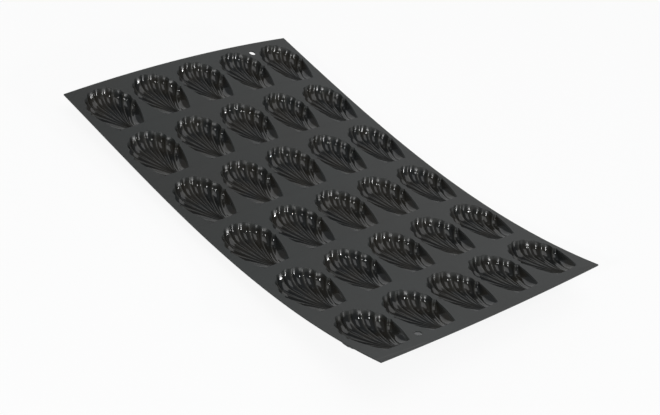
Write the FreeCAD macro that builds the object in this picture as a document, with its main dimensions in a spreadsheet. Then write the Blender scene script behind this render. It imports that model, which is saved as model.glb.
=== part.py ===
import FreeCAD, Part
import math
import os

import Sketcher
from FreeCAD import Placement, Rotation, Vector

# A silicone baking mould for thirty madeleines: one moulded sheet, bent a little as it lies,
# with shell-shaped cups hanging from it in five columns and six rows and two holes to hang it by.
# X runs across the sheet, +Y to the end that the fans of the shells point to, +Z up.

# All lengths are millimetres and all angles degrees.
SIZES = {
    "sheet_length": 530,
    "sheet_width": 325,
    "sheet_thickness": 1.5,
    # height of the sheet's middle line above its lowest place, at the ends and quarters
    "rise_far": 13.5,
    "rise_far_quarter": 5,
    "rise_near_quarter": 6.9,
    "rise_near": 28.8,
    # how far the long edges hang below the middle line at the same places
    "droop_far": 7.6,
    "droop_far_quarter": 7.7,
    "droop_middle": 6.3,
    "droop_near_quarter": 4,
    "droop_near": -4.5,
    # the sheet is a little twisted: its tilt across, right edge up
    "tilt_far": 1.05,
    "tilt_far_quarter": 0.32,
    "tilt_near_quarter": -0.37,
    "tilt_near": -1.23,
    # the grid of cups shares out what the margins leave, a little off the sheet's middle
    "columns": 5,
    "rows": 6,
    "side_margin": 4,
    "end_margin": 5.2,
    "grid_right": 1,
    "grid_far": 2.4,
    # flat strips between neighbouring cups
    "column_gap": 7.4,
    "row_gap": 11.6,
    # one cavity: the fan is half an ellipse behind the cavity's middle, the toe a short straight end
    "fan_back": 3.5,
    "side_taper": 3,
    "side_reach": 21,
    "toe_taper": 11.7,
    "last_flute_run": 6,
    "last_flute_step": 0.8,
    "flutes": 9,
    "flute_height": 2,
    "cavity_depth": 14,
    "floor_depth": 12.8,
    "toe_depth": 4.2,
    "cup_wall": 1.2,
    "hole_diameter": 8,
    "hole_from_edge": 18,
}

# Where the flutes of a cavity have their corners, from the toe's rim (0) to the fan's rim (1).
TOE_FOOT, FLOOR, HEEL = 0.1, 0.74, 0.9
# How full the cross-section is there: the lower the power, the flatter the floor.
TOE_FULLNESS, FLOOR_FULLNESS = 0.25, 0.7
# Share of the flute's height that is left at the toe, where the flutes run together.
TOE_FLUTE_SHARE = 0.4


def make_sizes(doc):
    sheet = doc.addObject("Spreadsheet::Sheet", "Sizes")
    for row, (name, value) in enumerate(SIZES.items(), start=1):
        sheet.set(f"A{row}", name)
        sheet.set(f"B{row}", str(value))
        sheet.setAlias(f"B{row}", name)
    doc.recompute()
    return sheet


def origin_plane(body, role):
    return next(f for f in body.Origin.OriginFeatures if f.Role == role)


def cross_section(body, place, span, sizes):
    """The sheet's section at one place along it: two equal arcs a thickness apart."""
    sketch = body.newObject("Sketcher::SketchObject", f"Section_{place}")
    sketch.AttachmentSupport = (origin_plane(body, "XZ_Plane"), [""])
    sketch.MapMode = "FlatFace"
    half = sizes.sheet_width / 2
    droop = getattr(sizes, f"droop_{place}")
    thick = sizes.sheet_thickness
    left, middle, right = Vector(-half, -droop), Vector(0, 0), Vector(half, -droop)
    down = Vector(0, -thick)
    top = sketch.addGeometry(Part.Arc(left, middle, right))
    bottom = sketch.addGeometry(Part.Arc(left + down, middle + down, right + down))
    left_side = sketch.addGeometry(Part.LineSegment(left, left + down))
    right_side = sketch.addGeometry(Part.LineSegment(right, right + down))
    # an arc runs anticlockwise, so its start is on the right where it humps and on the left where it sags
    start, end = (right_side, left_side) if droop > 0 else (left_side, right_side)
    link = Sketcher.Constraint
    for arc, side_end in ((top, 1), (bottom, 2)):
        sketch.addConstraint(link("Coincident", arc, 1, start, side_end))
        sketch.addConstraint(link("Coincident", arc, 2, end, side_end))
    sketch.addConstraint(link("Vertical", left_side))
    sketch.addConstraint(link("Vertical", right_side))
    sketch.addConstraint(link("Equal", left_side, right_side))
    sketch.addConstraint(link("Equal", top, bottom))
    sketch.addConstraint(link("Symmetric", left_side, 1, right_side, 1, -2))
    sketch.addConstraint(link("PointOnObject", -1, 1, top))
    drive(sketch, link("DistanceX", left_side, 1, right_side, 1, sizes.sheet_width), "sheet_width")
    drive(sketch, link("DistanceY", right_side, 1, -1, 1, droop), f"droop_{place}")
    drive(sketch, link("DistanceY", left_side, 2, left_side, 1, thick), "sheet_thickness")
    sketch.AttachmentOffset = Placement(Vector(0, 0, 0), Rotation(Vector(0, 0, 1), 0))
    sketch.setExpression("AttachmentOffset.Base.z", span)
    if place != "middle":
        sketch.setExpression("AttachmentOffset.Base.y", f"Sizes.rise_{place}")
        tilt = getattr(sizes, f"tilt_{place}")
        sketch.AttachmentOffset = Placement(Vector(0, 0, 0), Rotation(Vector(0, 0, 1), tilt))
        sketch.setExpression("AttachmentOffset.Rotation.Angle", f"Sizes.tilt_{place} * 1deg")
    return sketch


def drive(sketch, constraint, name):
    """Adds a dimension that follows a cell of the size sheet."""
    number = sketch.addConstraint(constraint)
    sketch.setExpression(f"Constraints[{number}]", f"Sizes.{name}")


def quarter_run(upper, lower):
    """Level distance covered by a quarter of the sheet that climbs between two heights."""
    return f"sqrt(pow(Sizes.sheet_length / 4; 2) - pow({upper} - {lower}; 2))"


def make_blank(doc, sizes):
    """The sheet before its cups: one skin through five cross-sections."""
    body = doc.addObject("PartDesign::Body", "SheetBlank")
    far_quarter = quarter_run("Sizes.rise_far_quarter", "0")
    far = quarter_run("Sizes.rise_far", "Sizes.rise_far_quarter")
    near_quarter = quarter_run("Sizes.rise_near_quarter", "0")
    near = quarter_run("Sizes.rise_near", "Sizes.rise_near_quarter")
    spans = {
        "far": f"0 - {far_quarter} - {far}",
        "far_quarter": f"0 - {far_quarter}",
        "middle": "0",
        "near_quarter": near_quarter,
        "near": f"{near_quarter} + {near}",
    }
    sections = [cross_section(body, place, span, sizes) for place, span in spans.items()]
    doc.recompute()
    loft = body.newObject("PartDesign::AdditiveLoft", "Skin")
    loft.Profile = sections[0]
    loft.Sections = sections[1:]
    loft.Ruled = False
    doc.recompute()
    return body


class Skin:
    """One broad face of the sheet, walked by distances across it and along its middle line."""

    def __init__(self, shape, upper=True):
        broad = sorted(shape.Faces, key=lambda face: face.Area)[-2:]
        pick = max if upper else min
        self.face = pick(broad, key=lambda face: face.CenterOfMass.z)
        self.surface = self.face.Surface
        u0, u1, v0, v1 = self.face.ParameterRange
        edge = self.surface.value(u1, v0) - self.surface.value(u0, v0)
        self.u_runs_across = abs(edge.x) > abs(edge.y)
        self.spine = self.line_along((u0 + u1) / 2 if self.u_runs_across else (v0 + v1) / 2)

    def line_along(self, number):
        return self.surface.uIso(number) if self.u_runs_across else self.surface.vIso(number)

    def line_across(self, number):
        return self.surface.vIso(number) if self.u_runs_across else self.surface.uIso(number)

    @staticmethod
    def walk(curve, start, distance, heading):
        """The curve's number at a distance from a point on it, counted along the heading."""
        number = curve.parameter(start)
        forward = curve.tangent(number)[0].dot(heading) > 0
        if distance == 0:
            return number
        return curve.parameterAtDistance(distance if forward else -distance, number)

    def point(self, across, along):
        on_spine = self.walk(self.spine, Vector(0, 0, 0), along, Vector(0, 1, 0))
        rib = self.line_across(on_spine)
        return rib.value(self.walk(rib, self.spine.value(on_spine), across, Vector(1, 0, 0)))

    def seat(self, across, along, reach_across, reach_along):
        """The placement of something that lies on the sheet and reaches so far each way."""
        left, right = (self.point(across + d, along) for d in (-reach_across, reach_across))
        near, far = (self.point(across, along + d) for d in (-reach_along, reach_along))
        normal = (right - left).cross(far - near)
        middle = (left + right + near + far) / 4
        return Placement(middle, Rotation(right - left, far - near, normal, "ZYX"))

    def nearest(self, point):
        return self.surface.value(*self.surface.parameter(point))


class Cavity:
    """The plan of one cavity, in the room that the grid has for it on the sheet."""

    def __init__(self, sizes):
        self.column_pitch = (sizes.sheet_width - 2 * sizes.side_margin) / sizes.columns
        self.row_pitch = (sizes.sheet_length - 2 * sizes.end_margin) / sizes.rows
        self.half_length = (self.row_pitch - sizes.row_gap) / 2
        self.fan_half_width = (self.column_pitch - sizes.column_gap) / 2 - sizes.last_flute_step
        self.fan_reach = self.half_length - sizes.flute_height - sizes.fan_back
        self.side_half_width = self.fan_half_width - sizes.side_taper
        self.toe_half_width = self.fan_half_width - sizes.toe_taper


def envelope(sizes, line, station):
    """A point of the smooth shell that the flutes are pressed out of; y points to the fan."""
    cavity = Cavity(sizes)
    side = abs(line)
    sign = math.copysign(1, line)
    last_ridge = 1 - 2 / sizes.flutes
    turn = math.radians(90) * min(side / last_ridge, 1)
    past = max(side - last_ridge, 0) / (1 - last_ridge)
    fan = Vector(
        sign * (cavity.fan_half_width * math.sin(turn) + sizes.last_flute_step * past),
        sizes.fan_back + cavity.fan_reach * math.cos(turn) - sizes.last_flute_run * past,
    )
    toe = Vector(cavity.toe_half_width * line, -cavity.half_length)
    waist = Vector(cavity.side_half_width * line, -sizes.side_reach)
    rest = 1 - station
    plan = toe * rest**2 + waist * 2 * rest * station + fan * station**2
    depth, fullness = {
        TOE_FOOT: (sizes.toe_depth, TOE_FULLNESS),
        FLOOR: (sizes.floor_depth, FLOOR_FULLNESS),
        HEEL: (sizes.cavity_depth, FLOOR_FULLNESS),
    }.get(station, (0, 1))
    return plan - Vector(0, 0, depth * (1 - line * line) ** fullness)


def outward_normal(smooth, k, i):
    """Away from the cavity at one corner of its grid: level on the rim, square to the shell inside it."""
    last, end = len(smooth) - 1, len(smooth[0]) - 1
    across = smooth[k][min(i + 1, end)] - smooth[k][max(i - 1, 0)]
    along = smooth[min(k + 1, last)][i] - smooth[max(k - 1, 0)][i]
    if 0 < k < last and 0 < i < end:
        return along.cross(across).normalize()
    outward = Vector(0, 0, 0)
    if k in (0, last):
        outward += Vector(across.y, -across.x, 0).normalize() * (1 if k == 0 else -1)
    if i in (0, end):
        outward += Vector(along.y, -along.x, 0).normalize() * (1 if i == end else -1)
    return outward.normalize()


def shell_grid(sizes, swell):
    """Corners of the fluted shell, swollen outwards by a wall: one row for each station."""
    stations = [0, TOE_FOOT, FLOOR, HEEL, 1]
    count = 2 * int(sizes.flutes)
    smooth = [[envelope(sizes, 2 * i / count - 1, s) for i in range(count + 1)] for s in stations]
    grid = []
    for k, station in enumerate(stations):
        flute = sizes.flute_height * (TOE_FLUTE_SHARE + (1 - TOE_FLUTE_SHARE) * station)
        # odd lines run down the channels, even ones along the ridges between them
        pushes = [swell + (flute if i % 2 and k else 0) for i in range(count + 1)]
        grid.append([p + outward_normal(smooth, k, i) * pushes[i] for i, p in enumerate(smooth[k])])
    return grid


def facet(*corners):
    return Part.Face(Part.makePolygon([*corners, corners[0]]))


def press_shell(sizes, swell, seat, skin):
    """One fluted shell of flat facets that starts on the skin, and the outline of its rim there."""
    grid = [[seat.multVec(point) for point in row] for row in shell_grid(sizes, swell)]
    for row in (grid[0], grid[-1]):
        row[:] = [skin.nearest(point) for point in row]
    for row in grid[1:-1]:
        row[0], row[-1] = skin.nearest(row[0]), skin.nearest(row[-1])
    channels = range(1, len(grid[0]) - 1, 2)
    facets = []
    # at the toe's rim only the ridges have corners: each channel starts as a triangle
    toe, foot = grid[0], grid[1]
    for i in channels:
        facets.append(facet(toe[i - 1], toe[i + 1], foot[i]))
        facets.append(facet(toe[i - 1], foot[i], foot[i - 1]))
        facets.append(facet(toe[i + 1], foot[i + 1], foot[i]))
    for near, far in zip(grid[1:-1], grid[2:]):
        for i in channels:
            facets.append(facet(near[i - 1], near[i], far[i - 1]))
            facets.append(facet(near[i], far[i], far[i - 1]))
            facets.append(facet(near[i], near[i + 1], far[i + 1]))
            facets.append(facet(near[i], far[i + 1], far[i]))
    right_side, left_side = ([row[i] for row in grid[1:-1]] for i in (-1, 0))
    rim = toe[::2] + right_side + grid[-1][::-1] + left_side[::-1]
    return facets, Part.makePolygon([*rim, rim[0]])


def grid_seats(skin, sizes):
    cavity = Cavity(sizes)
    seats = []
    for row in range(int(sizes.rows)):
        for column in range(int(sizes.columns)):
            across = (column - (sizes.columns - 1) / 2) * cavity.column_pitch + sizes.grid_right
            along = (row - (sizes.rows - 1) / 2) * cavity.row_pitch + sizes.grid_far
            seats.append(skin.seat(across, along, cavity.fan_half_width, cavity.half_length))
    return seats


def make_hole(doc, name, skin, across, along, sizes):
    hole = doc.addObject("Part::Cylinder", name)
    hole.setExpression("Radius", "Sizes.hole_diameter / 2")
    hole.setExpression("Height", "Sizes.sheet_thickness * 3")
    seat = skin.seat(across, along, sizes.hole_diameter, sizes.hole_diameter)
    hole.Placement = seat.multiply(Placement(Vector(0, 0, -2 * sizes.sheet_thickness), Rotation()))
    return hole


def punch_holes(doc, blank, sizes):
    """The sheet with its two hanging holes, at opposite corners between the outer columns."""
    skin = Skin(blank.Shape)
    beside = (sizes.columns - 2) / 2 * Cavity(sizes).column_pitch
    inset = sizes.sheet_length / 2 - sizes.hole_from_edge
    holes = doc.addObject("Part::Compound", "HangingHoles")
    holes.Links = [
        make_hole(doc, "NearHole", skin, sizes.grid_right - beside, -inset, sizes),
        make_hole(doc, "FarHole", skin, sizes.grid_right + beside, inset, sizes),
    ]
    punched = doc.addObject("Part::Cut", "PunchedSheet")
    punched.Base = blank
    punched.Tool = holes
    doc.recompute()
    return punched


def make_mould(doc, punched, sizes):
    """The cups are pressed into both skins of the sheet, and all faces are sewn to one solid."""
    upper, lower = Skin(punched.Shape), Skin(punched.Shape, upper=False)
    rest = [f for f in punched.Shape.Faces if not (f.isSame(upper.face) or f.isSame(lower.face))]
    seats = grid_seats(upper, sizes)
    faces = []
    for skin, swell in ((upper, 0), (lower, sizes.cup_wall)):
        rims = []
        for seat in seats:
            facets, rim = press_shell(sizes, swell, seat, skin)
            faces += facets
            rims.append(rim)
        open_skin = skin.face.copy()
        open_skin.cutHoles(rims)
        open_skin.validate()
        faces.append(open_skin)
    shell = Part.Compound(faces + rest)
    shell.sewShape()
    solid = Part.Solid(shell)
    if solid.Volume < 0:
        solid.reverse()
    mould = doc.addObject("Part::Feature", "Mould")
    mould.Label = "madeleine_mould"
    mould.Shape = solid
    # the origin is on the surface that the mould lies on, below the middle of its outline
    box = solid.BoundBox
    mould.Placement = Placement(Vector(-box.Center.x, -box.Center.y, -box.ZMin), Rotation())
    return mould


def check(doc, parts):
    failed = [o.Name for o in doc.Objects if {"Invalid", "Error"} & set(o.State)]
    if failed:
        raise RuntimeError(f"these did not build: {failed}")
    for part in parts:
        shape = part.Shape
        if shape.isNull() or not shape.isValid() or len(shape.Solids) != 1:
            raise RuntimeError(f"{part.Label} is not one sound solid")


def main():
    doc = FreeCAD.newDocument("MadeleineMould")
    sizes = make_sizes(doc)
    punched = punch_holes(doc, make_blank(doc, sizes), sizes)
    mould = make_mould(doc, punched, sizes)
    check(doc, [mould])
    os.makedirs("parts", exist_ok=True)
    mould.Shape.exportStep(f"parts/{mould.Label}.step")
    box = mould.Shape.BoundBox
    print(f"{mould.Label}: {len(mould.Shape.Faces)} faces, {mould.Shape.Volume / 1000:.1f} cm3,", end=" ")
    print(f"{box.XLength:.1f} x {box.YLength:.1f} x {box.ZLength:.1f} mm")


main()
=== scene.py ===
import math

import bpy
import numpy as np
from mathutils import Euler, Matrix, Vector


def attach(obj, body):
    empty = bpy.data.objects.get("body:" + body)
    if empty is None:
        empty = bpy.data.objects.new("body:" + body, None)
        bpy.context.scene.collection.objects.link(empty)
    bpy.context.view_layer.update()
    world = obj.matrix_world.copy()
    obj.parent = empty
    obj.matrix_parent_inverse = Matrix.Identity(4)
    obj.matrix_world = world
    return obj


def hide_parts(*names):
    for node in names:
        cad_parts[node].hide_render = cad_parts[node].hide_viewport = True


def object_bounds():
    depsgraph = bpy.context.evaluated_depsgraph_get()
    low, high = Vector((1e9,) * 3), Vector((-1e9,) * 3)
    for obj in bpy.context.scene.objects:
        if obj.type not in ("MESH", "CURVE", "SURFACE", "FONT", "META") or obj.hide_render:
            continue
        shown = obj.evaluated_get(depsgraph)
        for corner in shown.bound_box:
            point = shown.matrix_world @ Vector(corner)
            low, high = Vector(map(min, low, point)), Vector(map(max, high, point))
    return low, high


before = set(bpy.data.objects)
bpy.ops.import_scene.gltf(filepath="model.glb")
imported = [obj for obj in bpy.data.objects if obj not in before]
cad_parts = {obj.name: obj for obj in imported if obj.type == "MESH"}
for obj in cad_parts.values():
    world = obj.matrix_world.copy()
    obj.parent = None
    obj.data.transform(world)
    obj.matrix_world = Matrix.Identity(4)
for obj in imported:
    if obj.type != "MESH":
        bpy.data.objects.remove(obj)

CAD_BOX = [list(corner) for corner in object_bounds()]

# A silicone baking mould: one thin dark sheet, a little bent as it lies, with thirty shell-shaped
# cups and two hanging holes. Lengths are metres. X runs across the sheet, +Y to the end that the
# fans of the shells point to, +Z up.

MM = 0.001

# the flat sheet
SHEET_LENGTH = 530 * MM
SHEET_WIDTH = 325 * MM
SHEET_THICKNESS = 1.5 * MM
COLUMNS, ROWS = 5, 6
SIDE_MARGIN, END_MARGIN = 4 * MM, 5.2 * MM
COLUMN_PITCH = (SHEET_WIDTH - 2 * SIDE_MARGIN) / COLUMNS
ROW_PITCH = (SHEET_LENGTH - 2 * END_MARGIN) / ROWS
GRID_RIGHT = 1.0 * MM
GRID_FAR = 2.4 * MM
HOLE_DIAMETER = 8 * MM
HOLE_FROM_EDGE = 18 * MM

# how the sheet lies: five places along it, from the near end to the far one
PLACES = (-262.7 * MM, -132.3 * MM, 0.0, 132.4 * MM, 264.2 * MM)
RISE = (28.8 * MM, 6.9 * MM, 0.0, 5.0 * MM, 13.5 * MM)
DROOP = (-4.5 * MM, 4.0 * MM, 6.3 * MM, 7.7 * MM, 7.6 * MM)
TILT = (-1.23, -0.37, 0.0, 0.32, 1.05)

# one cavity, from its middle: the fan is half an ellipse, the toe a short straight end
FAN_HALF_WIDTH = 27.2 * MM
FAN_REACH = 32 * MM
FAN_BACK = 3.5 * MM
SIDE_HALF_WIDTH = 24.2 * MM
SIDE_REACH = 21 * MM
TOE_HALF_WIDTH = 15.5 * MM
TOE_REACH = 37.5 * MM
LAST_FLUTE_RUN = 6 * MM
LAST_FLUTE_STEP = 0.8 * MM
FLUTES = 9
FLUTE_HEIGHT = 2 * MM
RIDGE_RISE = 0.7 * MM
CAVITY_DEPTH = 13.8 * MM
CUP_WALL = 1.2 * MM

# along a cavity, from its toe (0) to its fan (1): where the toe's wall ends, the toe's share of the
# depth, where the fan's wall starts, and the power by which the floor falls from one to the other
TOE_FOOT, TOE_SHARE, HEEL = 0.1, 0.3, 0.86
FLOOR_FALL = 1.12
# across it, from its middle (0) to its side (1): how square the side walls stand
WALL_SQUARENESS = 12
# the share of the depth that the floor rises towards the side walls, and between which places
# along the cavity it turns from flat to round
FLOOR_ROUNDNESS = 0.42
ROUND_FROM, ROUND_TO = 0.08, 0.6
# how much of a flute's place across the floor goes by a straight line; the rest bunches the
# flutes in the middle, by this power
EVENNESS = 0.2
SIDE_POWER = 4
RIM_BEVEL = 0.35 * MM
CREST_ROUNDING = 0.25

# the flutes' height: its share at the toe's rim, the power by which it grows towards the fan, and
# where they have come out of the toe
TOE_FLUTE, FLUTE_GROWTH, FLUTE_START = 0.1, 1.2, 0.08
# how far from the toe's rim and from the fan's the ridges rise in full
RIDGE_START, RIDGE_END = 0.15, 0.06
# how far to either side a slope of the shell is measured
NUDGE = 0.004

# how finely one cup is divided: steps across each flute, steps along them and rings outside the rim
STEPS_PER_FLUTE = 7
STEPS_ALONG = 19
RINGS = 2
# rings lie closest together at the rim; steps on the ridges, and at both ends of a cavity
RING_SPREAD = 4.5
RIDGE_BUNCHING = 0.6
END_BUNCHING = 0.72

# a cell is one pitch by one pitch of the sheet round a cup: which place across the cup faces the
# cell's corner, and how far down the cell's sides the places past it reach
CORNER_LINE = 39 / (STEPS_PER_FLUTE * FLUTES)
FAN_DROP, TOE_DROP = 45 * MM, 12 * MM
FAN_DROP_POWER = 0.35
# how strongly the places on a cell's ends crowd towards its corners, as an angle under 90 degrees
CORNER_CROWDING = math.radians(80)

SPINE_STEPS = 120
HOLE_SIDES = 48
SHARP_ANGLE = math.radians(75)
MERGE = 0.01 * MM
# the slack in comparing two places on a cup's own grid
SLACK = 0.01

# finishes
SHEET_COLOUR = (0.024, 0.027, 0.026, 1)
SHEET_COLOUR_WARM = (0.028, 0.027, 0.025, 1)
# the cavities' colour is darker than the sheet's though the silicone is one colour: painted shade in
# the recesses
CAVITY_SHADE_COLOUR = (0.014, 0.015, 0.015, 1)
CAVITY_SHADE_COLOUR_WARM = (0.020, 0.018, 0.0145, 1)
# the ridges' crests get a lighter colour: a painted highlight
CREST_HIGHLIGHT_COLOUR = (0.045, 0.044, 0.04, 1)
# how narrow the painted highlight along a ridge's crest is, and where beside a cavity's rim it sets in
CREST_HIGHLIGHT_NARROWNESS = 4
CREST_HIGHLIGHT_FROM = 0.1
SHEET_ROUGHNESS = 0.5
CAVITY_ROUGHNESS = 0.12
# how uneven the roughness is
ROUGHNESS_SPREAD = 0.08
# the depths between which the sheet's satin turns into the cavities' polish, and its colour into the
# cavities' darker one, which is painted shade
POLISH_FROM, POLISH_TO = 0.2 * MM, 1.2 * MM
# clouds of two tints on the sheet and patches of two in the cavities, in repeats a metre
CLOUD_SCALE = 9.0
CLOUD_LOW, CLOUD_CONTRAST = 0.3, 1.6
PATCH_SCALE = 34.0
PATCH_FROM, PATCH_TO = 0.35, 0.65
# the skin's fine grain
GRAIN_SCALE = 2600.0
GRAIN_STRENGTH = 0.12
GRAIN_HEIGHT = 0.02 * MM
SILICONE_IOR = 1.43
# a faint pale streak beside the near edge, a painted highlight: its ends in x and in y, and how far it
# reaches to either side
EDGE_HIGHLIGHT = (-159 * MM, -100 * MM), (-258.3 * MM, -262.0 * MM)
EDGE_HIGHLIGHT_REACH = 0.9 * MM
EDGE_HIGHLIGHT_COLOUR = (0.05, 0.05, 0.048, 1)

# the studio
WHITE = (1, 1, 1, 1)
PAPER_COLOUR = (0.9, 0.9, 0.9, 1)
PAPER_GLOW = 0.9
FLOOR_SIZE = 12
# under the mould the paper has no white glow, so that the near hole isn't white: the patch's
# limits in x and in y
COVERED = (-0.09, 0.15), (-0.222, 0.25)
ROOM_COLOUR = (0.9, 0.95, 1, 1)
ROOM_LIGHT = 0.2

# soft lamps: name, direction from the mould, distance, size and power
LAMPS = (
    ("overhead", (-0.08, -0.14, 1), 2.5, 2.2, 25),
    ("backdrop", (0.65, 0.7, 0.3), 3.0, 3.6, 29),
    ("strobe_right", (0.37, -0.88, 0.27), 3.0, 0.16, 27),
    ("strobe_left", (-0.84, -0.31, 0.46), 3.0, 0.2, 27),
)

# where the photo was taken from
CAMERA_PLACE = (-0.9032, -0.7822, 0.8411)
CAMERA_TURN = (53.897, -12.215, -41.118)
CAMERA_LENS = 71.97
SENSOR_WIDTH = 36


class Wire:
    """One output of a node, with the arithmetic that adds Math nodes to its tree."""

    def __init__(self, graph, socket):
        self.graph = graph
        self.socket = socket

    def math(self, operation, *others):
        return self.graph.add("ShaderNodeMath", dict(enumerate((self, *others))), operation=operation)

    def __add__(self, other):
        return self.math("ADD", other)

    def __mul__(self, other):
        return self.math("MULTIPLY", other)

    def __sub__(self, other):
        return self.math("SUBTRACT", other)

    def __truediv__(self, other):
        return self.math("DIVIDE", other)

    def __pow__(self, other):
        return self.math("POWER", other)

    def __rsub__(self, other):
        return self.graph.add("ShaderNodeMath", {0: other, 1: self}, operation="SUBTRACT")

    def __neg__(self):
        return self * -1.0

    def __abs__(self):
        return self.math("ABSOLUTE")

    __radd__ = __add__
    __rmul__ = __mul__

    def clipped(self, low=0.0, high=1.0):
        return self.math("MAXIMUM", low).math("MINIMUM", high)

    def smooth_step(self, low, high):
        share = ((self - low) / (high - low)).clipped()
        return share * share * (3.0 - 2.0 * share)


class Graph:
    """A node tree, with one method that adds any node."""

    def __init__(self, tree):
        self.tree = tree

    def add(self, kind, values=(), out=0, **settings):
        """A node of one kind: its settings first, then a value or a link for each of its sockets."""
        node = self.tree.nodes.new(kind)
        for name, setting in settings.items():
            setattr(node, name, setting)
        for key, value in dict(values).items():
            if isinstance(value, Wire):
                self.tree.links.new(value.socket, node.inputs[key])
            else:
                node.inputs[key].default_value = value
        return Wire(self, node.outputs[out])

    def vector(self, x, y, z):
        return self.add("ShaderNodeCombineXYZ", {"X": x, "Y": y, "Z": z})

    def parts(self, vector):
        first = self.add("ShaderNodeSeparateXYZ", {0: vector})
        return [Wire(self, first.socket.node.outputs[i]) for i in range(3)]

    def vector_math(self, operation, *vectors):
        return self.add("ShaderNodeVectorMath", dict(enumerate(vectors)), operation=operation)

    def scaled(self, vector, factor):
        return self.add("ShaderNodeVectorMath", {0: vector, "Scale": factor}, operation="SCALE")


def along_sheet(values, place):
    """The quartic through the values at the five places, and its slope, at a place along the sheet."""
    quartic = np.polyfit(PLACES, values, len(PLACES) - 1)
    return horner(quartic, place), horner(np.polyder(quartic), place)


def horner(factors, place):
    """A polynomial's value at a place, which may be a wire."""
    total = place * float(factors[0]) + float(factors[1])
    for factor in factors[2:]:
        total = total * place + float(factor)
    return total


def geometry_tree(name, numbers):
    """A tree of geometry nodes whose inputs are a material and named sizes."""
    tree = bpy.data.node_groups.new(name, "GeometryNodeTree")
    tree.interface.new_socket("Geometry", in_out="OUTPUT", socket_type="NodeSocketGeometry")
    tree.interface.new_socket("Material", in_out="INPUT", socket_type="NodeSocketMaterial")
    for label in numbers:
        tree.interface.new_socket(label, in_out="INPUT", socket_type="NodeSocketFloat")
    graph = Graph(tree)
    entry = tree.nodes.new("NodeGroupInput")
    given = {socket.name: Wire(graph, socket) for socket in entry.outputs if socket.name}
    return graph, given


def quarter_round(run):
    """How deep a wall is at a share of its run: 1 up to its foot (0), and down to 0 at its top (1)
    by a quarter of a circle."""
    return (1 - run.clipped() ** 2).math("SQRT")


def envelope(graph, given, line, station):
    """Where the smooth shell is, before its flutes: line runs across it from -1 to 1, station from
    the toe's rim (0) to the fan's (1)."""
    side = abs(line).clipped()
    sign = line.math("SIGN")
    last_ridge = 1 - 2 / FLUTES
    turn = (side / last_ridge).clipped() * math.radians(90)
    past = (side - last_ridge).clipped() / (1 - last_ridge)
    fan_x = given["Fan half width"] * turn.math("SINE") + LAST_FLUTE_STEP * past
    fan_y = given["Fan reach"] * turn.math("COSINE") + FAN_BACK - LAST_FLUTE_RUN * past
    rest = 1 - station
    toe_share = rest * rest
    waist_share = rest * station * 2
    fan_share = station * station
    share = side * (EVENNESS + (1 - EVENNESS) * side ** SIDE_POWER)
    across = share * (TOE_HALF_WIDTH * toe_share + SIDE_HALF_WIDTH * waist_share) + fan_x * fan_share
    along = fan_y * fan_share - TOE_REACH * toe_share - SIDE_REACH * waist_share
    depth = quarter_round(1 - station / TOE_FOOT) * quarter_round((station - HEEL) / (1 - HEEL))
    from_heel = ((HEEL - station) / (HEEL - TOE_FOOT)).clipped()
    depth = depth * (1 - (1 - TOE_SHARE) * from_heel ** FLOOR_FALL)
    # steep side walls, and between them a floor that is flat at the toe and round towards the fan
    walls = (1 - side ** WALL_SQUARENESS).math("SQRT")
    fall = walls * (1 - side * side * (FLOOR_ROUNDNESS * station.smooth_step(ROUND_FROM, ROUND_TO)))
    return graph.vector(sign * across, along, -(given["Cavity depth"] * depth * fall))


def flute_wave(line):
    """How far out the flutes are at a place across the shell: 1 along a channel, 0 on a ridge."""
    wave = (line * (math.pi * FLUTES / 2)).math("COSINE" if FLUTES % 2 else "SINE")
    rounded = (wave * wave + CREST_ROUNDING ** 2).math("SQRT")
    return (rounded - CREST_ROUNDING) * (1 / (math.hypot(1, CREST_ROUNDING) - CREST_ROUNDING))


def fluted(graph, given, line, station, swell):
    """The shell with its flutes pressed out of it, swollen outwards by a wall."""
    def shell_at(line, station):
        return envelope(graph, given, line.clipped(-1), station.clipped())

    across = graph.vector_math(
        "SUBTRACT", shell_at(line + NUDGE, station), shell_at(line - NUDGE, station)
    )
    along = graph.vector_math(
        "SUBTRACT", shell_at(line, station + NUDGE), shell_at(line, station - NUDGE)
    )
    outward = graph.vector_math("NORMALIZE", graph.vector_math("CROSS_PRODUCT", along, across))
    wave = flute_wave(line)
    fade = (TOE_FLUTE + (1 - TOE_FLUTE) * station ** FLUTE_GROWTH) * station.smooth_step(0, FLUTE_START)
    inside = station.smooth_step(0, RIDGE_START) * (1 - station).smooth_step(0, RIDGE_END)
    inside = (1 - line * line).clipped() * inside
    push = given["Flute height"] * wave * fade - RIDGE_RISE * (1 - wave) * inside + swell
    return graph.vector_math("ADD", envelope(graph, given, line, station), graph.scaled(outward, push))


def marked(graph, geometry, name, value):
    """The geometry with a number stored at each of its points."""
    values = {"Geometry": geometry, "Name": name, "Value": value}
    return graph.add("GeometryNodeStoreNamedAttribute", values, data_type="FLOAT", domain="POINT")


def cell_border(raw_line, raw_along, at_end, line_margin, station_margin):
    """Where a cell's border is abreast of a place of its grid. The border's points stand abreast of
    those of the rim, so that no face between them folds over: those of the outer flutes stand on
    the cell's sides, those of the others on its ends."""
    abreast = ((abs(raw_line) / CORNER_LINE).clipped() * CORNER_CROWDING).math("SINE")
    abreast = abreast * (1 / math.sin(CORNER_CROWDING))
    past = ((abs(raw_line) - CORNER_LINE) / (1 + line_margin - CORNER_LINE)).clipped()
    fan_y = ROW_PITCH / 2 - FAN_DROP * past ** FAN_DROP_POWER
    toe_y = -ROW_PITCH / 2 + TOE_DROP * past
    end_y = toe_y + (fan_y - toe_y) * raw_along.math("GREATER_THAN", 0)
    side_run = (ROW_PITCH - FAN_DROP - TOE_DROP) / (1 + 2 * station_margin)
    side_y = raw_along * side_run + (TOE_DROP - FAN_DROP) / 2
    edge_x = raw_line.math("SIGN") * (1 + (abreast - 1) * at_end) * (COLUMN_PITCH / 2)
    edge_y = side_y + (end_y - side_y) * at_end
    return edge_x, edge_y


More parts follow.
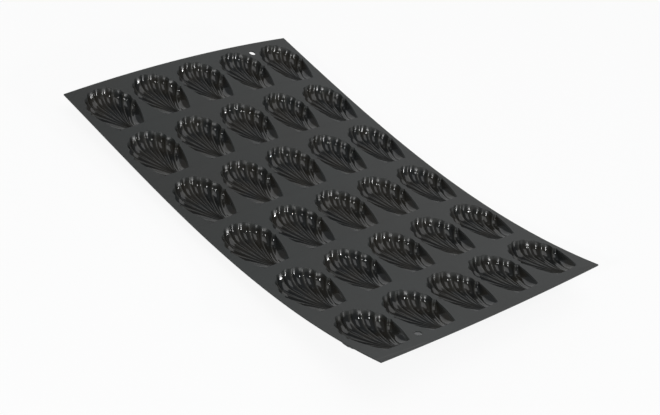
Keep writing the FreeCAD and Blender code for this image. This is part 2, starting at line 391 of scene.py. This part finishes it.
def cup_cell(graph, given, swell, level):
    """One pitch by one pitch of the flat sheet with a cup in it, as one skin."""
    inside = STEPS_PER_FLUTE * FLUTES
    line_margin = RINGS * 2 / inside
    station_margin = RINGS / STEPS_ALONG
    grid = graph.add("GeometryNodeMeshGrid", {
        "Size X": 2 + 2 * line_margin,
        "Size Y": 1 + 2 * station_margin,
        "Vertices X": inside + 2 * RINGS + 1,
        "Vertices Y": STEPS_ALONG + 2 * RINGS + 1,
    })
    raw_line, raw_along, _ = graph.parts(graph.add("GeometryNodeInputPosition"))
    line = raw_line.clipped(-1)
    beat = (line * (math.pi * FLUTES) + math.pi * (FLUTES % 2)).math("SINE")
    line = line - beat * (RIDGE_BUNCHING / math.pi / FLUTES)
    even = (raw_along + 0.5).clipped()
    # the steps are closest together at the toe and at the fan, where the walls are steep
    station = even - (even * (2 * math.pi)).math("SINE") * (END_BUNCHING / (2 * math.pi))
    shell_x, shell_y, shell_z = graph.parts(fluted(graph, given, line, station, swell))
    # how far outside the rim a point is: 0 on the rim, 1 on the cell's border
    over_side = (abs(raw_line) - 1) / line_margin
    over_end = (abs(raw_along) - 0.5) / station_margin
    over = over_side.math("MAXIMUM", over_end)
    at_end = over_end.math("GREATER_THAN", over_side - SLACK)
    flat = over.math("GREATER_THAN", -SLACK)
    spread = over.clipped() ** RING_SPREAD
    edge_x, edge_y = cell_border(raw_line, raw_along, at_end, line_margin, station_margin)
    # a painted highlight along each ridge's crest, narrow, and faded out beside the rim
    crest_highlight = (1 - flute_wave(line) * CREST_HIGHLIGHT_NARROWNESS).clipped()
    crest_highlight = crest_highlight * (1 - line * line).smooth_step(0, CREST_HIGHLIGHT_FROM)
    # marks are stored while the grid is still flat, because they are worked out from its places
    grid = marked(graph, grid, "off_rim", over.clipped())
    grid = marked(graph, grid, "crest_highlight", crest_highlight)
    level = level - RIM_BEVEL * over.math("LESS_THAN", 0.5 / RINGS)
    height = shell_z.math("MINIMUM", level)
    place = graph.vector(
        shell_x + (edge_x - shell_x) * spread,
        shell_y + (edge_y - shell_y) * spread,
        height + (level - height) * flat,
    )
    return graph.add("GeometryNodeSetPosition", {"Geometry": grid, "Position": place})


def flat_skin(graph, given, swell, level):
    """One skin of the whole flat sheet: a cup at each point of the grid, and the outer cells run
    out to the sheet's outline."""
    points = graph.add("GeometryNodeMeshGrid", {
        "Size X": (COLUMNS - 1) * COLUMN_PITCH,
        "Size Y": (ROWS - 1) * ROW_PITCH,
        "Vertices X": COLUMNS,
        "Vertices Y": ROWS,
    })
    cup = cup_cell(graph, given, swell, level)
    cups = graph.add("GeometryNodeInstanceOnPoints", {"Points": points, "Instance": cup})
    skin = graph.add("GeometryNodeRealizeInstances", {"Geometry": cups})
    skin = graph.add("GeometryNodeMergeByDistance", {"Geometry": skin, "Distance": MERGE})
    x, y, z = graph.parts(graph.add("GeometryNodeInputPosition"))
    on_side = abs(x).math("GREATER_THAN", COLUMNS * COLUMN_PITCH / 2 - MERGE)
    on_end = abs(y).math("GREATER_THAN", ROWS * ROW_PITCH / 2 - MERGE)
    x_there, y_there = x + GRID_RIGHT, y + GRID_FAR
    outline = graph.vector(
        x_there + (x.math("SIGN") * (SHEET_WIDTH / 2) - x_there) * on_side,
        y_there + (y.math("SIGN") * (SHEET_LENGTH / 2) - y_there) * on_end,
        z,
    )
    return graph.add("GeometryNodeSetPosition", {"Geometry": skin, "Position": outline})


def thick_sheet(graph, given):
    """Both skins of the flat sheet, closed round its outline."""
    upper = flat_skin(graph, given, 0.0, 0.0)
    lower = flat_skin(graph, given, given["Cup wall"], -given["Sheet thickness"])
    depth = -graph.parts(graph.add("GeometryNodeInputPosition"))[2]
    # the cavity mark also turns the colour darker there: painted shade in the recesses
    upper = marked(graph, upper, "cavity", depth.smooth_step(POLISH_FROM, POLISH_TO))
    lower = marked(graph, lower, "cavity", 0.0)
    lower = graph.add("GeometryNodeFlipFaces", {"Mesh": lower})
    border = graph.add("GeometryNodeInputMeshEdgeNeighbors").math("COMPARE", 1.0, 0.5)
    down = graph.vector(0.0, 0.0, -given["Sheet thickness"])
    values = {"Mesh": upper, "Selection": border, "Offset": down, "Offset Scale": 1.0}
    upper = graph.add("GeometryNodeExtrudeMesh", values, mode="EDGES")
    both = graph.add("GeometryNodeJoinGeometry")
    for skin in (lower, upper):
        graph.tree.links.new(skin.socket, both.socket.node.inputs[0])
    return graph.add("GeometryNodeMergeByDistance", {"Geometry": both, "Distance": MERGE})


def with_holes(graph, given, sheet):
    """The sheet with its two hanging holes, at opposite corners between the outer columns."""
    beside = (COLUMNS - 2) / 2 * COLUMN_PITCH
    inset = SHEET_LENGTH / 2 - HOLE_FROM_EDGE
    pins = graph.add("GeometryNodeJoinGeometry")
    for side in (-1, 1):
        values = {"Radius": given["Hole diameter"] * 0.5, "Depth": 4 * SHEET_THICKNESS}
        pin = graph.add("GeometryNodeMeshCylinder", {**values, "Vertices": HOLE_SIDES})
        place = (GRID_RIGHT + side * beside, side * inset, 0)
        pin = graph.add("GeometryNodeTransform", {"Geometry": pin, "Translation": place})
        graph.tree.links.new(pin.socket, pins.socket.node.inputs[0])
    values = {"Mesh 1": sheet, "Mesh 2": pins}
    return graph.add("GeometryNodeMeshBoolean", values, operation="DIFFERENCE", solver="MANIFOLD")


def bent(graph, sheet):
    """The sheet laid along its curved middle line, with its edges hanging and its ends turned up."""
    step = (PLACES[-1] - PLACES[0]) / SPINE_STEPS
    values = {"Count": SPINE_STEPS + 1, "Start Location": (0, PLACES[0], 0), "Offset": (0, step, 0)}
    line = graph.add("GeometryNodeMeshLine", values)
    line_y = graph.parts(graph.add("GeometryNodeInputPosition"))[1]
    lift = graph.vector(0.0, 0.0, along_sheet(RISE, line_y)[0])
    spine = graph.add("GeometryNodeSetPosition", {"Geometry": line, "Offset": lift})
    spine = graph.add("GeometryNodeMeshToCurve", {"Mesh": spine})
    x, y, depth = graph.parts(graph.add("GeometryNodeInputPosition"))
    values = {"Curves": spine, "Factor": y / SHEET_LENGTH + 0.5}
    sample = graph.add("GeometryNodeSampleCurve", values, out="Position", mode="FACTOR")
    _, place, rise = graph.parts(sample)
    slope = along_sheet(RISE, place)[1]
    droop, droop_slope = along_sheet(DROOP, place)
    tilt, tilt_slope = along_sheet([math.tan(math.radians(angle)) for angle in TILT], place)
    out = x / (SHEET_WIDTH / 2)
    across_slope = tilt - droop * out * (4 / SHEET_WIDTH)
    long_slope = slope + tilt_slope * x - droop_slope * out * out
    up = graph.vector_math("NORMALIZE", graph.vector(-across_slope, -long_slope, 1.0))
    surface = graph.vector(x, place, rise + tilt * x - droop * out * out)
    position = graph.vector_math("ADD", surface, graph.scaled(up, depth))
    return graph.add("GeometryNodeSetPosition", {"Geometry": sheet, "Position": position})


def mould_tree(sizes):
    """The whole mould as one tree of geometry nodes."""
    graph, given = geometry_tree("moulded_sheet", sizes)
    sheet = bent(graph, with_holes(graph, given, thick_sheet(graph, given)))
    sheet = graph.add("GeometryNodeSetShadeSmooth", {"Geometry": sheet}, domain="FACE")
    off_rim = graph.add("GeometryNodeInputNamedAttribute", {"Name": "off_rim"}, data_type="FLOAT")
    # an edge reads the mean of its two ends, so those of the first ring outside the rim are found
    on_rim = off_rim.math("COMPARE", 1 / RINGS, SLACK)
    angle = graph.add("GeometryNodeInputMeshEdgeAngle").math("GREATER_THAN", SHARP_ANGLE)
    sharp = on_rim.math("MAXIMUM", angle)
    values = {"Geometry": sheet, "Selection": sharp, "Shade Smooth": False}
    sheet = graph.add("GeometryNodeSetShadeSmooth", values, domain="EDGE")
    sheet = graph.add("GeometryNodeRealizeInstances", {"Geometry": sheet})
    sheet = graph.add("GeometryNodeSetMaterial", {"Geometry": sheet, "Material": given["Material"]})
    exit_node = graph.tree.nodes.new("NodeGroupOutput")
    graph.tree.links.new(sheet.socket, exit_node.inputs[0])
    return graph.tree


def grown(name, tree, inputs):
    """The plain mesh that a tree of geometry nodes makes, as an object of its own."""
    seed = bpy.data.objects.new(name + "_seed", bpy.data.meshes.new(name + "_seed"))
    bpy.context.scene.collection.objects.link(seed)
    modifier = seed.modifiers.new(name, "NODES")
    modifier.node_group = tree
    for socket in tree.interface.items_tree:
        if socket.in_out == "INPUT" and socket.name in inputs:
            modifier[socket.identifier] = inputs[socket.name]
    bpy.context.view_layer.update()
    evaluated = seed.evaluated_get(bpy.context.evaluated_depsgraph_get())
    mesh = bpy.data.meshes.new_from_object(evaluated)
    seed.modifiers.clear()
    bpy.data.objects.remove(seed)
    piece = bpy.data.objects.new(name, mesh)
    bpy.context.scene.collection.objects.link(piece)
    return piece


def stand(mesh):
    """Moves a mesh so that its lowest point is at height 0 and its middle over the solid's."""
    corners = np.empty(len(mesh.vertices) * 3)
    mesh.vertices.foreach_get("co", corners)
    corners = corners.reshape(-1, 3)
    low, high = corners.min(axis=0), corners.max(axis=0)
    middle = (np.array(CAD_BOX[0]) + CAD_BOX[1]) / 2
    corners -= [(low[0] + high[0]) / 2 - middle[0], (low[1] + high[1]) / 2 - middle[1], low[2]]
    mesh.vertices.foreach_set("co", corners.ravel())
    mesh.update()


def new_material(name):
    """An empty material and its graph."""
    material = bpy.data.materials.new(name)
    material.use_nodes = True
    material.node_tree.nodes.clear()
    graph = Graph(material.node_tree)
    return material, graph


def finish_material(graph, shader):
    exit_node = graph.tree.nodes.new("ShaderNodeOutputMaterial")
    graph.tree.links.new(shader.socket, exit_node.inputs["Surface"])


def mixed(graph, factor, first, second):
    """A blend of two colours."""
    return graph.add("ShaderNodeMix", {"Factor": factor, 6: first, 7: second}, out=2, data_type="RGBA")


def mark(graph, name):
    """A number that is stored on the mesh."""
    return graph.add("ShaderNodeAttribute", out="Fac", attribute_name=name)


def edge_highlight_mark(graph, place):
    """1 along the painted highlight streak beside the near edge, fading to 0 at its sides."""
    (x_from, x_to), (y_from, y_to) = EDGE_HIGHLIGHT
    x, y, _ = graph.parts(place)
    aside = abs(y - y_from - (x - x_from) * ((y_to - y_from) / (x_to - x_from)))
    return (1 - aside / EDGE_HIGHLIGHT_REACH).clipped() * x.math("LESS_THAN", x_to)


def silicone():
    """Dark moulded silicone: satin on the sheet, with a polish and painted shade in the cavities and
    painted highlights on their ridges.
    """
    material, graph = new_material("dark_silicone")
    place = graph.add("ShaderNodeTexCoord", out="Object")
    cloud = graph.add("ShaderNodeTexNoise", {"Vector": place, "Scale": CLOUD_SCALE, "Detail": 3.0})
    grain = graph.add("ShaderNodeTexNoise", {"Vector": place, "Scale": GRAIN_SCALE, "Detail": 2.0})
    patches = graph.add("ShaderNodeTexNoise", {"Vector": place, "Scale": PATCH_SCALE, "Detail": 1.0})
    cavity = mark(graph, "cavity")
    clouds = (cloud - CLOUD_LOW) * CLOUD_CONTRAST
    satin = mixed(graph, clouds, SHEET_COLOUR, SHEET_COLOUR_WARM)
    # a pale streak beside the near edge: a painted highlight
    satin = mixed(graph, edge_highlight_mark(graph, place), satin, EDGE_HIGHLIGHT_COLOUR)
    warm_share = patches.smooth_step(PATCH_FROM, PATCH_TO)
    # darker colour in the cavities: painted shade in the recesses
    shaded_cavity_colour = mixed(graph, warm_share, CAVITY_SHADE_COLOUR, CAVITY_SHADE_COLOUR_WARM)
    # the ridges' crests are coloured lighter: a painted highlight
    shaded_cavity_colour = mixed(graph, mark(graph, "crest_highlight"), shaded_cavity_colour, CREST_HIGHLIGHT_COLOUR)
    colour = mixed(graph, cavity, satin, shaded_cavity_colour)
    roughness = SHEET_ROUGHNESS + (cloud - 0.5) * ROUGHNESS_SPREAD
    roughness = roughness - (SHEET_ROUGHNESS - CAVITY_ROUGHNESS) * cavity
    values = {"Height": grain, "Strength": GRAIN_STRENGTH, "Distance": GRAIN_HEIGHT}
    bump = graph.add("ShaderNodeBump", values)
    values = {"Base Color": colour, "Roughness": roughness, "Normal": bump, "IOR": SILICONE_IOR}
    finish_material(graph, graph.add("ShaderNodeBsdfPrincipled", values))
    return material


def floor_material():
    """White paper, which the camera sees at almost full white but for the mould's soft shadow and
    for the covered patch."""
    material, graph = new_material("white_paper")
    paper = graph.add("ShaderNodeBsdfDiffuse", {"Color": PAPER_COLOUR})
    glow = graph.add("ShaderNodeEmission", {"Color": WHITE, "Strength": 1.0})
    x, y, _ = graph.parts(graph.add("ShaderNodeTexCoord", out="Object"))
    covered = 1.0
    for value, (low, high) in zip((x, y), COVERED):
        covered = value.math("GREATER_THAN", low) * value.math("LESS_THAN", high) * covered
    seen = graph.add("ShaderNodeLightPath", out="Is Camera Ray") * (1 - covered) * PAPER_GLOW
    finish_material(graph, graph.add("ShaderNodeMixShader", {0: seen, 1: paper, 2: glow}))
    return material


def make_floor():
    half = FLOOR_SIZE / 2
    corners = [(-half, -half, 0), (half, -half, 0), (half, half, 0), (-half, half, 0)]
    mesh = bpy.data.meshes.new("floor")
    mesh.from_pydata(corners, [], [(0, 1, 2, 3)])
    floor = bpy.data.objects.new("floor", mesh)
    bpy.context.scene.collection.objects.link(floor)
    mesh.materials.append(floor_material())


def make_world():
    """A dim room that the mould mirrors, and white behind everything for the camera."""
    world = bpy.data.worlds.new("studio")
    bpy.context.scene.world = world
    world.use_nodes = True
    world.node_tree.nodes.clear()
    graph = Graph(world.node_tree)
    room = graph.add("ShaderNodeBackground", {"Color": ROOM_COLOUR, "Strength": ROOM_LIGHT})
    white = graph.add("ShaderNodeBackground", {"Color": WHITE, "Strength": 1.0})
    seen = graph.add("ShaderNodeLightPath", out="Is Camera Ray")
    shader = graph.add("ShaderNodeMixShader", {0: seen, 1: room, 2: white})
    exit_node = graph.tree.nodes.new("ShaderNodeOutputWorld")
    graph.tree.links.new(shader.socket, exit_node.inputs["Surface"])


def make_lamp(name, direction, distance, size, power):
    """A square soft lamp that shines at the mould from one direction."""
    lamp = bpy.data.lights.new(name, "AREA")
    lamp.shape = "SQUARE"
    lamp.size = size
    lamp.energy = power
    place = Vector(direction).normalized() * distance
    holder = bpy.data.objects.new(name, lamp)
    holder.location = place
    holder.rotation_euler = place.to_track_quat("Z", "Y").to_euler()
    bpy.context.scene.collection.objects.link(holder)


def make_lights():
    make_world()
    for name, direction, distance, size, power in LAMPS:
        make_lamp(name, direction, distance, size, power)


def make_camera():
    camera = bpy.data.cameras.new("camera")
    camera.lens = CAMERA_LENS
    camera.sensor_width = SENSOR_WIDTH
    holder = bpy.data.objects.new("camera", camera)
    holder.location = CAMERA_PLACE
    holder.rotation_euler = Euler([math.radians(angle) for angle in CAMERA_TURN])
    bpy.context.scene.collection.objects.link(holder)
    bpy.context.scene.camera = holder


def make_mould():
    sizes = {
        "Fan half width": FAN_HALF_WIDTH,
        "Fan reach": FAN_REACH,
        "Flute height": FLUTE_HEIGHT,
        "Cavity depth": CAVITY_DEPTH,
        "Cup wall": CUP_WALL,
        "Sheet thickness": SHEET_THICKNESS,
        "Hole diameter": HOLE_DIAMETER,
    }
    mould = grown("moulded_sheet", mould_tree(sizes), {"Material": silicone(), **sizes})
    stand(mould.data)
    print("mould:", sum(len(p.vertices) - 2 for p in mould.data.polygons), "triangles")
    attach(mould, "root")
    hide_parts("madeleine_mould")


bpy.context.scene.view_settings.view_transform = "Standard"
make_mould()
make_floor()
make_lights()
make_camera()
